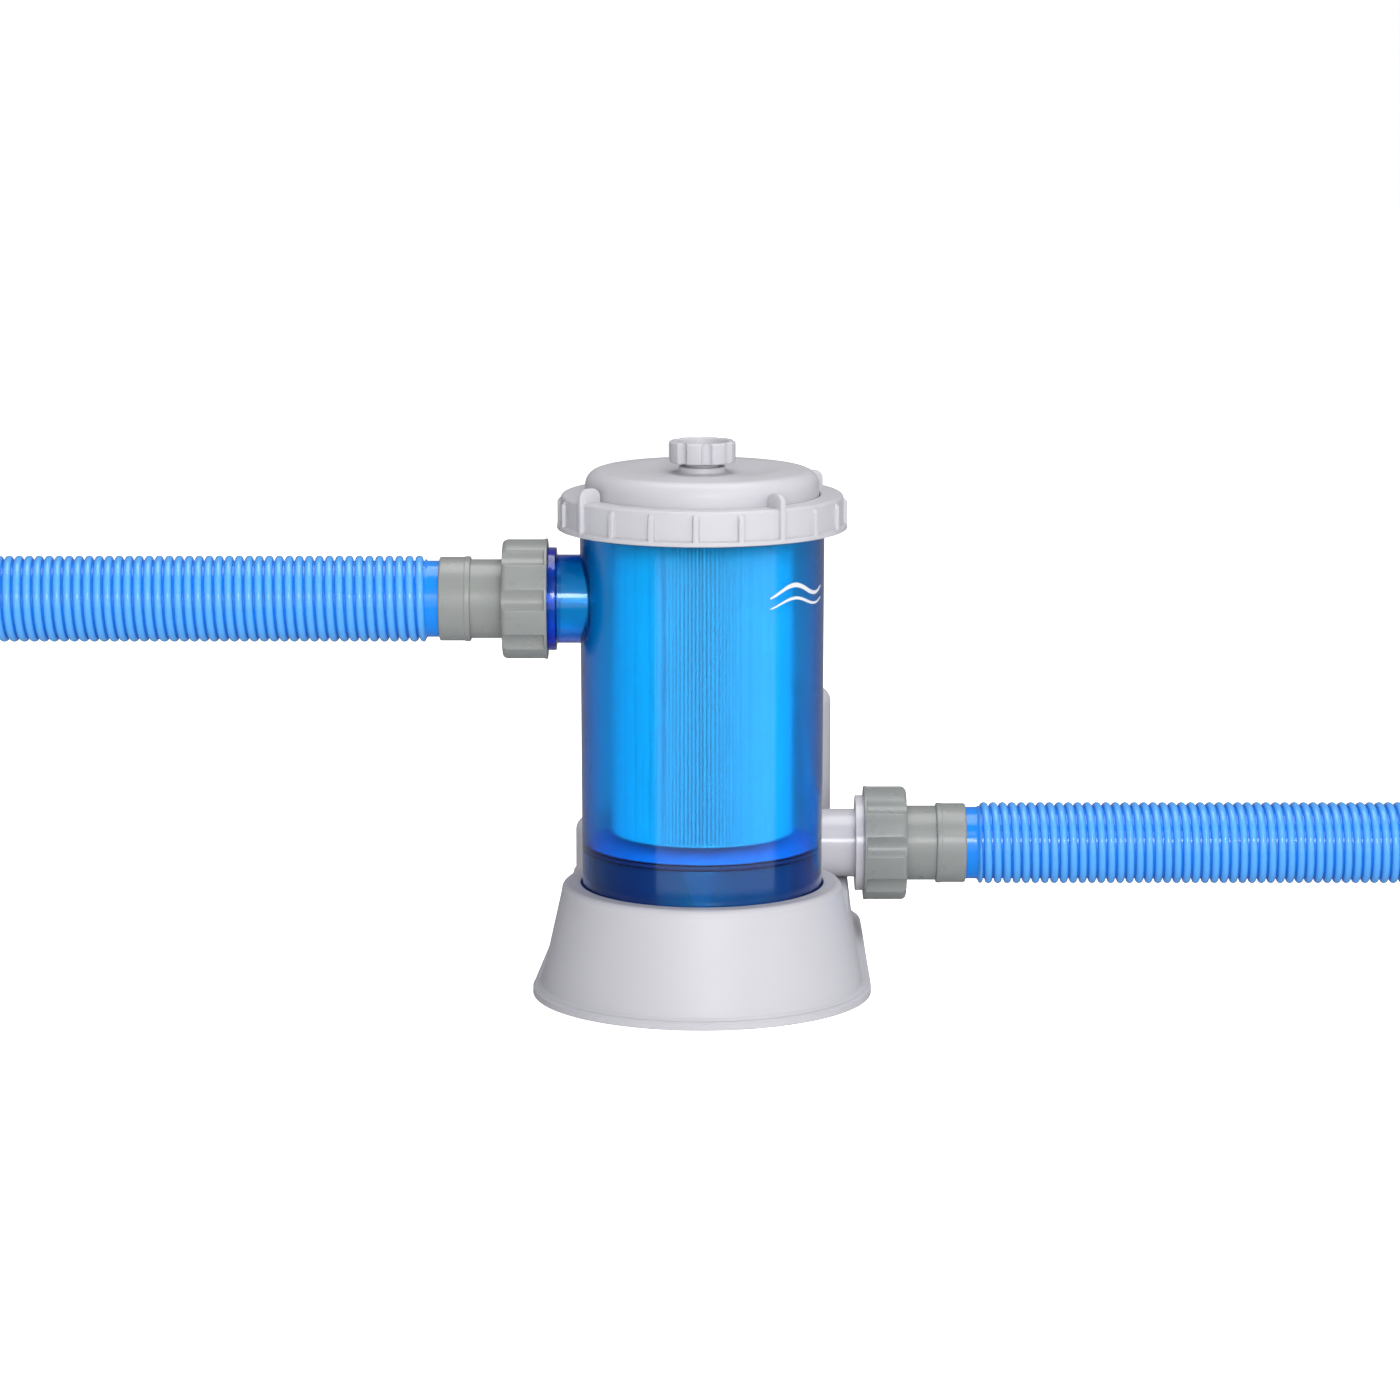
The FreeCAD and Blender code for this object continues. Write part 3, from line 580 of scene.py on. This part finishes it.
def joined(first, operation, other):
    """The first mesh after a boolean with the other, which is removed."""
    modifier = first.modifiers.new("join", "BOOLEAN")
    modifier.operation, modifier.object, modifier.solver = operation, other, "EXACT"
    result = bpy.data.meshes.new_from_object(first.evaluated_get(bpy.context.evaluated_depsgraph_get()))
    first.modifiers.clear()
    first.data = result
    bpy.data.objects.remove(other)
    return first


def lifted(tool):
    """The mesh data of a loose object, which is removed."""
    data = [tuple(v.co) for v in tool.data.vertices], [tuple(f.vertices) for f in tool.data.polygons]
    bpy.data.objects.remove(tool)
    return data


def between(first, last, steps=10):
    """Even points between two corners of an outline, which break a tall wall into rows of faces."""
    return [(first[0] + (last[0] - first[0]) * k / steps, first[1] + (last[1] - first[1]) * k / steps, 0)
            for k in range(1, steps)]


def canister_wall():
    """Wall, threaded neck with its seal's groove, partition, and the spigot that the cartridge sits on."""
    low, high = box("canister")
    foot_z, rim_z, neck_r = low.z, high.z, high.x
    seat_z, under_z = box("cartridge_bottom_cap")[0].z, FLOOR_Z - WALL
    return lathe(rounded(
        [(FOOT_IN, foot_z, 0.3), (FOOT_R, foot_z, 0.5)] + between((FOOT_R, foot_z), (TOP_R, SHOULDER_Z))
        + [(TOP_R, SHOULDER_Z, 1), (neck_r, SHOULDER_Z + SHOULDER, 1), (neck_r, rim_z, 0.4),
           (SEAL_OUT, rim_z, 0), (SEAL_OUT, rim_z - SEAL_DEEP, 0), (SEAL_IN, rim_z - SEAL_DEEP, 0),
           (SEAL_IN, rim_z, 0), (INSIDE_R, rim_z, 0.4), (INSIDE_R, SHOULDER_Z, 0)]
        + between((INSIDE_R, SHOULDER_Z), (FOOT_IN, FLOOR_Z))
        + [(FOOT_IN, FLOOR_Z, 1.2), (SEAT_R, FLOOR_Z, 1), (SEAT_R, seat_z, 0.5), (SPIGOT_R, seat_z, 0.6),
           (SPIGOT_R, SPIGOT_TOP, 0.6), (SPIGOT_BORE, SPIGOT_TOP, 0.4), (SPIGOT_BORE, SPIGOT_FOOT, 0.4),
           (SPIGOT_R, SPIGOT_FOOT, 0.4), (SPIGOT_R, under_z, 1), (FOOT_IN, under_z, 1.2)], steps=3),
        even(WALL_COLUMNS))


def canister():
    """The wall with the inlet's pipe, collar and thread joined to it, bored through to the water space.

    The port is first cut back to the inside of the wall by a core."""
    nut = Along("inlet_union_nut", -1)
    root = PIPE_ROOT + box("canister")[0].x + THREAD
    outline = rounded([(0, root, 0), (PIPE_R, root, 0), (PIPE_R, -COLLAR, 0.8), (COLLAR_R, -COLLAR, 0.6),
                       (COLLAR_R, 0, 0.6), (THREAD_R, 0, 0), (THREAD_R, THREAD, 1), (0, THREAD, 0)])
    port = solid(lathe(outline, even(PORT_COLUMNS)), nut.matrix)
    port = joined(port, "DIFFERENCE", rod(CORE_R, CORE_FOOT, CORE_TOP, WALL_COLUMNS))
    body = joined(solid(canister_wall()), "UNION", port)
    return lifted(joined(body, "DIFFERENCE", rod(PIPE_BORE, BORE_IN, BORE_OUT, BORE_COLUMNS, nut.matrix)))


KEYS, KEY_RISE, KEY_R = 4, 10.0, 65.2
KEY_TOP, KEY_FOOT, KEY_DEEP = 23.0, 8.0, 3.6


def keys():
    """Wedges inside the canister's foot that find its seat on the base."""
    levels = (box("canister")[0].z + KEY_RISE, KEY_FOOT), (box("chamber_liner")[1].z, KEY_TOP)
    verts, faces = [], []
    for k in range(KEYS):
        turn = Matrix.Rotation(TAU * k / KEYS, 3, "Z")
        first = len(verts)
        for z, wide in levels:
            half = wide / 2
            back, front = -math.sqrt(KEY_R ** 2 - half ** 2), KEY_DEEP - KEY_R
            corners = (-half, back), (half, back), (half, front), (-half, front)
            verts += [turn @ Vector((x, y, z)) for x, y in corners]
        a = [first + n for n in range(8)]
        faces += [(a[3], a[2], a[1], a[0]), (a[4], a[5], a[6], a[7])]
        faces += [(a[n], a[(n + 1) % 4], a[4 + (n + 1) % 4], a[4 + n]) for n in range(4)]
    return verts, faces


SKIN_IN, SKIN_OUT, SKIN_COLUMNS = 21.5, 64.8, 128
SKIN_GAP, SKIN_TOP = 0.05, 0.7
LINE_R, LINE_COLUMNS = 66.6, 160
LINE_HALF_WIDE, LINE_HALF_TALL = 1.0, 0.9


def floor_plate():
    """Tinted skin on the partition, which the water space is seen against."""
    low, high = FLOOR_Z + SKIN_GAP, FLOOR_Z + SKIN_TOP
    outline = [(SKIN_IN, low, 0), (SKIN_OUT, low, 0), (SKIN_OUT, high, 0.3), (SKIN_IN, high, 0.3)]
    return lathe(rounded(outline, steps=3), even(SKIN_COLUMNS))


def seal_line():
    """Dark gasket where the partition meets the wall."""
    inner, outer, middle = LINE_R - LINE_HALF_WIDE, LINE_R + LINE_HALF_WIDE, FLOOR_Z - WALL / 2
    low, high = middle - LINE_HALF_TALL, middle + LINE_HALF_TALL
    outline = [(inner, low, 0.2), (outer, low, 0.2), (outer, high, 0.2), (inner, high, 0.2)]
    return lathe(rounded(outline, steps=2), even(LINE_COLUMNS))


MARK_FROM, MARK_TO = math.radians(-90 + 33), math.radians(-90 + 74)
MARK_Z, MARK_STEPS = 236.0, 48
MARK_WALL_R, MARK_SUNK, MARK_PROUD = 69.15, 0.3, 0.12
MARK_WAVES = (3.2, 3.4, 2.6), (-3.4, 2.6, 1.7)     # height over MARK_Z, swell and greatest width


def wave_mark():
    """Two plain printed waves on the canister's right front, as thin raised ribbons."""
    verts, faces = [], []
    under, over = MARK_WALL_R - MARK_SUNK, MARK_WALL_R + MARK_PROUD
    for rise, swell, widest in MARK_WAVES:
        first = len(verts)
        for k in range(MARK_STEPS + 1):
            share = k / MARK_STEPS
            angle = MARK_FROM + (MARK_TO - MARK_FROM) * share
            middle = MARK_Z + rise + swell * math.sin(TAU * share * 1.1 - 0.9)
            half = widest / 2 * math.sin(math.pi * (0.04 + 0.92 * share)) ** 0.6
            low, high = middle - half, middle + half
            for r, z in ((under, low), (over, low), (over, high), (under, high)):
                verts.append((r * math.cos(angle), r * math.sin(angle), z))
        for k in range(MARK_STEPS):
            a, b = first + 4 * k, first + 4 * (k + 1)
            faces += [(a + n, b + n, b + (n + 1) % 4, a + (n + 1) % 4) for n in range(4)]
        end = first + 4 * MARK_STEPS
        faces += [tuple(first + n for n in (3, 2, 1, 0)), tuple(end + n for n in range(4))]
    return verts, faces


make("canister", canister(), crease=30)
make("canister", seal_line(), detail="seal_navy")
make("canister", wave_mark(), detail="mark_white")
make("canister", keys(), detail="key_blue")
make("canister", floor_plate(), detail="floor_blue")


# ---- lid, lock ring and air valve ---------------------------------------------------------------------
DOME_R, CROWN_R, DIP_R, UNDER_R = 66.1, 44, 17, 42
LID_FLANGE, CROWN_DROP = 3.6, 3.0
BOSS_R, BOSS_NECK_R, BOSS_GROOVE = 13.2, 9.4, 1.5
STUB_R, STUB_BORE, STUB_Z, STUB_ROOT_Z = 12.5, 5.2, 290, 297.2


def lid_cover():
    """Dome on a thin flange, with a dip round the grooved centre boss and a stub inside for the valve."""
    low, high = box("lid_cover")
    flange_r, rim, top = (high.x - low.x) / 2, low.z, high.z
    crown, shelf, neck = top - CROWN_DROP, rim + LID_FLANGE, top - BOSS_GROOVE
    return lathe(rounded([
        (DOME_R - WALL, rim, 0), (flange_r, rim, 0.4), (flange_r, shelf, 0.5), (DOME_R, shelf, 0.8),
        (DOME_R, crown - 0.6, 12.0), (CROWN_R, crown + 0.4, 30), (DIP_R, crown - 2.2, 10),
        (BOSS_R, crown - 1.4, 0.9), (BOSS_R, neck, 0.6), (BOSS_NECK_R, neck, 0.3), (BOSS_NECK_R, top, 0),
        (STUB_BORE, top, 0.4), (STUB_BORE, STUB_Z, 0), (STUB_R, STUB_Z, 0.5), (STUB_R, STUB_ROOT_Z, 1.5),
        (UNDER_R, crown - 3.2, 10), (DOME_R - WALL, crown - 4.2, 9)], steps=9), even(WALL_COLUMNS))


def tombstone(across, z, half, foot, top):
    """How deep a point lies inside a bar with a round top."""
    if z > top - half:
        return half - math.hypot(across, z - (top - half))
    return min(half - abs(across), z - foot + half)


RING_WALL_R, RING_BORE_R, RING_HOLE_R = 79.8, 76.6, 66.7
RING_TOP, RING_THICK, RING_LIP, RING_SLOPE = 288.0, 3.2, 2.5, 0.6
RIBS, RIB_TURN, RIB_HALF, RIB_ROUND = 20, math.radians(-2.5), 1.85, 0.7
RIB_FOOT, RIB_TOP = 270.0, 285.0
RIB_SUNK, RIB_SHY = 0.3, 0.1   # how far a rib's root is inside the wall, and its face short of the lip
RIB_ROWS = [RIB_FOOT + 3 + k for k in range(7)] + [RIB_TOP - 5 + 0.35 * k for k in range(12)]
LUGS, LUG_TURN, LUG_THICK, LUG_EDGE = 4, math.radians(-90 - 56.8), 3.2, 0.7
LUG_IN, LUG_FOOT_R, LUG_RISE, LUG_SHELF = 68.6, 76.9, 0.4, 286


def lock_ring():
    """Screw ring over the lid's flange, with a lip at its foot, narrow ribs and tall lugs to turn it by."""
    low, high = box("lock_ring")
    lip_r, foot = high.x, low.z
    outline = rounded([(RING_BORE_R, foot, 0.3), (lip_r, foot, 0.5), (lip_r, foot + RING_LIP, 0.6),
                       (RING_WALL_R, foot + RING_LIP + RING_SLOPE, 0.3)]
                      + [(RING_WALL_R, z, 0) for z in RIB_ROWS]
                      + [(RING_WALL_R, RING_TOP, 3.8), (RING_HOLE_R, RING_TOP, 1.2),
                         (RING_HOLE_R, RING_TOP - RING_THICK, 0.6),
                         (RING_BORE_R, RING_TOP - RING_THICK, 0.3)], steps=8)
    start = -math.pi / 2 + RIB_TURN
    root_r, rib_r = RING_WALL_R - RIB_SUNK, lip_r - RIB_SHY

    def shape(x, z, angle):
        if x < RING_BORE_R + 1 or z < RIB_FOOT:
            return x
        across = from_middle(angle, RIBS, start) * RING_WALL_R
        deep = tombstone(across, z, RIB_HALF, RIB_FOOT, RIB_TOP)
        if deep <= 0:
            return x
        rise = min(deep / RIB_ROUND, 1)
        return max(x, root_r + (rib_r - root_r) * math.sqrt(1 - (1 - rise) ** 2))

    verts, faces = lathe(outline, crowded(RIBS, start, RIB_HALF / RING_WALL_R, between=5), shape)
    lug = rounded([(LUG_FOOT_R, foot + LUG_RISE, 0.5), (lip_r, foot + LUG_RISE, 0.8), (lip_r, high.z, 5.5),
                   (LUG_IN, high.z, 6.5), (LUG_IN, LUG_SHELF, 0.5), (LUG_FOOT_R, LUG_SHELF, 0)], steps=7)
    for k in range(LUGS):
        more_verts, more_faces = fin(lug, LUG_THICK, LUG_EDGE, LUG_TURN + TAU * k / LUGS)
        faces += [tuple(i + len(verts) for i in face) for face in more_faces]
        verts += more_verts
    return verts, faces


def fin(outline, thick, edge, angle):
    """An upright plate of a radial outline, with rounded edges, turned to an angle about Z."""
    work = bmesh.new()
    sides = [[work.verts.new((p.x, y, p.y)) for p in outline] for y in (-thick / 2, thick / 2)]
    work.faces.new(sides[0])
    work.faces.new(list(reversed(sides[1])))
    count = len(outline)
    for k in range(count):
        n = (k + 1) % count
        work.faces.new((sides[0][k], sides[1][k], sides[1][n], sides[0][n]))
    rims = [work.edges.get((side[k], side[(k + 1) % count])) for side in sides for k in range(count)]
    bmesh.ops.recalc_face_normals(work, faces=work.faces)
    bmesh.ops.bevel(work, geom=rims, offset=edge, segments=3, profile=0.5, affect="EDGES",
                    clamp_overlap=True)
    work.verts.index_update()
    turn = Matrix.Rotation(angle, 3, "Z")
    verts = [turn @ v.co for v in work.verts]
    faces = [tuple(v.index for v in f.verts) for f in work.faces]
    work.free()
    return verts, faces


KNOB_FLUTES, KNOB_TURN, KNOB_HALF = 8, math.radians(-90 + 8), math.radians(9.4)
KNOB_CUT_R, KNOB_BLEND = 3.2, 0.9
KNOB_BORE, KNOB_FLOOR, KNOB_RIM, KNOB_WALL, KNOB_SKIN = 5.05, 3.2, 3.9, 5.2, 3.5


def valve_knob():
    """Lobed cup whose wall thickens towards its floor."""
    low, high = box("valve_knob")
    r, foot, top = high.x, low.z, high.z
    floor = foot + KNOB_FLOOR
    outline = rounded([(KNOB_BORE, foot, 0), (r, foot, 0.8), (r, (foot + top) / 2, 0), (r, top, 1.7),
                       (r - KNOB_RIM, top, 1.5), (r - KNOB_WALL, floor, 1.2), (KNOB_BORE, floor, 0)],
                      steps=7)

    def shape(x, z, angle):
        if x < r - KNOB_SKIN:
            return x
        offset = from_middle(angle, KNOB_FLUTES, KNOB_TURN)
        return soft_min(x, flute_radius(offset, KNOB_HALF, KNOB_CUT_R, r), KNOB_BLEND)

    return lathe(outline, crowded(KNOB_FLUTES, KNOB_TURN, KNOB_HALF, between=6), shape)


make("lid_cover", lid_cover())
make("lock_ring", lock_ring())
make("valve_knob", valve_knob())


# ---- stage --------------------------------------------------------------------------------------------
def area_light(name, place, target, size, watts, mirrored=True):
    """A soft lamp the camera can't see; reflections see it only if it is mirrored."""
    data = bpy.data.lights.new(name, "AREA")
    data.shape = "RECTANGLE"
    data.size, data.size_y = size
    data.energy = watts
    lamp = bpy.data.objects.new(name, data)
    bpy.context.scene.collection.objects.link(lamp)
    lamp.visible_camera = False
    lamp.visible_glossy = mirrored
    lamp.location = place
    lamp.rotation_euler = (Vector(target) - Vector(place)).to_track_quat("-Z", "Y").to_euler()


FLOOR_HALF, FLOOR_DROP = 6.0, 0.3 * MM


def white_floor():
    """A floor just under the base, pure white to the camera and absent from reflections."""
    mesh = bpy.data.meshes.new("floor")
    corners = [(x * FLOOR_HALF, y * FLOOR_HALF, 0) for x, y in ((-1, -1), (1, -1), (1, 1), (-1, 1))]
    mesh.from_pydata(corners, [], [(0, 1, 2, 3)])
    floor = bpy.data.objects.new("floor", mesh)
    floor.location.z = -FLOOR_DROP
    bpy.context.scene.collection.objects.link(floor)
    material = bpy.data.materials.new("floor_white")
    material.use_nodes = True
    tree = material.node_tree
    shader = tree.nodes["Principled BSDF"]
    shader.inputs["Base Color"].default_value = (0.85, 0.85, 0.85, 1)
    shader.inputs["Roughness"].default_value = 0.9
    shader.inputs["Emission Color"].default_value = (1, 1, 1, 1)
    path = tree.nodes.new("ShaderNodeLightPath")
    tree.links.new(path.outputs["Is Camera Ray"], shader.inputs["Emission Strength"])
    mesh.materials.append(material)
    floor.visible_glossy = False


def reckon(tree, operation, *values):
    """A math node's result from sockets or numbers."""
    node = tree.nodes.new("ShaderNodeMath")
    node.operation = operation
    for socket, value in zip(node.inputs, values):
        if isinstance(value, (int, float)):
            socket.default_value = value
        else:
            tree.links.new(value, socket)
    return node.outputs[0]


AHEAD_Y, BEHIND_Y = -0.3, 0.6


def white_world(seen, behind, ahead, mirrored, panel, across, up):
    """White to the camera; as a light, brighter from behind the object than from ahead of it.

    Reflections see only the mirrored share of that, and a panel ahead. The panel reaches across two angles
    from the front, to the left and right of it, and up between two heights of a unit direction."""
    world = bpy.data.worlds.new("studio")
    bpy.context.scene.world = world
    world.use_nodes = True
    tree = world.node_tree
    back = tree.nodes["Background"]
    back.inputs["Color"].default_value = (1, 1, 1, 1)
    place = tree.nodes.new("ShaderNodeTexCoord")
    parts = tree.nodes.new("ShaderNodeSeparateXYZ")
    tree.links.new(place.outputs["Generated"], parts.inputs[0])
    x, y, z = parts.outputs
    side = tree.nodes.new("ShaderNodeMapRange")
    side.inputs["From Min"].default_value, side.inputs["From Max"].default_value = AHEAD_Y, BEHIND_Y
    side.inputs["To Min"].default_value, side.inputs["To Max"].default_value = ahead, behind
    tree.links.new(y, side.inputs["Value"])
    path = tree.nodes.new("ShaderNodeLightPath")
    bounced = reckon(tree, "MULTIPLY", path.outputs["Is Glossy Ray"], path.outputs["Is Reflection Ray"])
    share = reckon(tree, "MULTIPLY_ADD", bounced, mirrored - 1, 1)
    angle = reckon(tree, "ARCTAN2", x, reckon(tree, "MULTIPLY", y, -1))
    inside = panel
    for value, (low, high) in ((angle, across), (z, up)):
        inside = reckon(tree, "MULTIPLY", inside, reckon(tree, "GREATER_THAN", value, low))
        inside = reckon(tree, "MULTIPLY", inside, reckon(tree, "LESS_THAN", value, high))
    light = reckon(tree, "MAXIMUM", inside, reckon(tree, "MULTIPLY", side.outputs["Result"], share))
    level = tree.nodes.new("ShaderNodeMapRange")
    level.inputs["To Max"].default_value = seen
    tree.links.new(light, level.inputs["To Min"])
    tree.links.new(path.outputs["Is Camera Ray"], level.inputs["Value"])
    tree.links.new(level.outputs["Result"], back.inputs["Strength"])


white_floor()
white_world(seen=1.0, behind=0.36, ahead=0.19, mirrored=0.6, panel=1.1,
            across=(math.radians(-45), math.radians(74)), up=(-0.25, 0.26))
area_light("front", (-0.35, -3.2, 0.95), (0, 0, 0.18), (1.8, 0.9), 21, mirrored=False)
area_light("glint", (0.45, -3.2, 1.2), (0, 0, 0.15), (1.2, 0.6), 31)
area_light("panel_front", (0.1, -3.4, 1.5), (0.1, 0, 1.0), (6.9, 2.8), 40, mirrored=False)
area_light("panel_right", (3.2, -1.4, 1.4), (0, -1.4, 1.0), (3.6, 2.6), 27, mirrored=False)
area_light("key", (0.9, -2.2, 2.1), (0, 0, 0.15), (1.2, 0.8), 9)
area_light("top", (0.1, 0.3, 2.2), (0, 0.1, 0.1), (1.8, 1.4), 28)

EYE, TILT, LENS, SENSOR = (-0.0012, -2.692, 0.645), math.radians(10.02), 123.55, 36.0
camera_data = bpy.data.cameras.new("camera")
camera_data.lens, camera_data.sensor_width = LENS, SENSOR
camera = bpy.data.objects.new("camera", camera_data)
camera.location = EYE
camera.rotation_euler = (math.pi / 2 - TILT, 0, 0)
bpy.context.scene.collection.objects.link(camera)
bpy.context.scene.camera = camera
bpy.context.scene.view_settings.view_transform = "Standard"
bpy.context.scene.view_settings.look = "None"
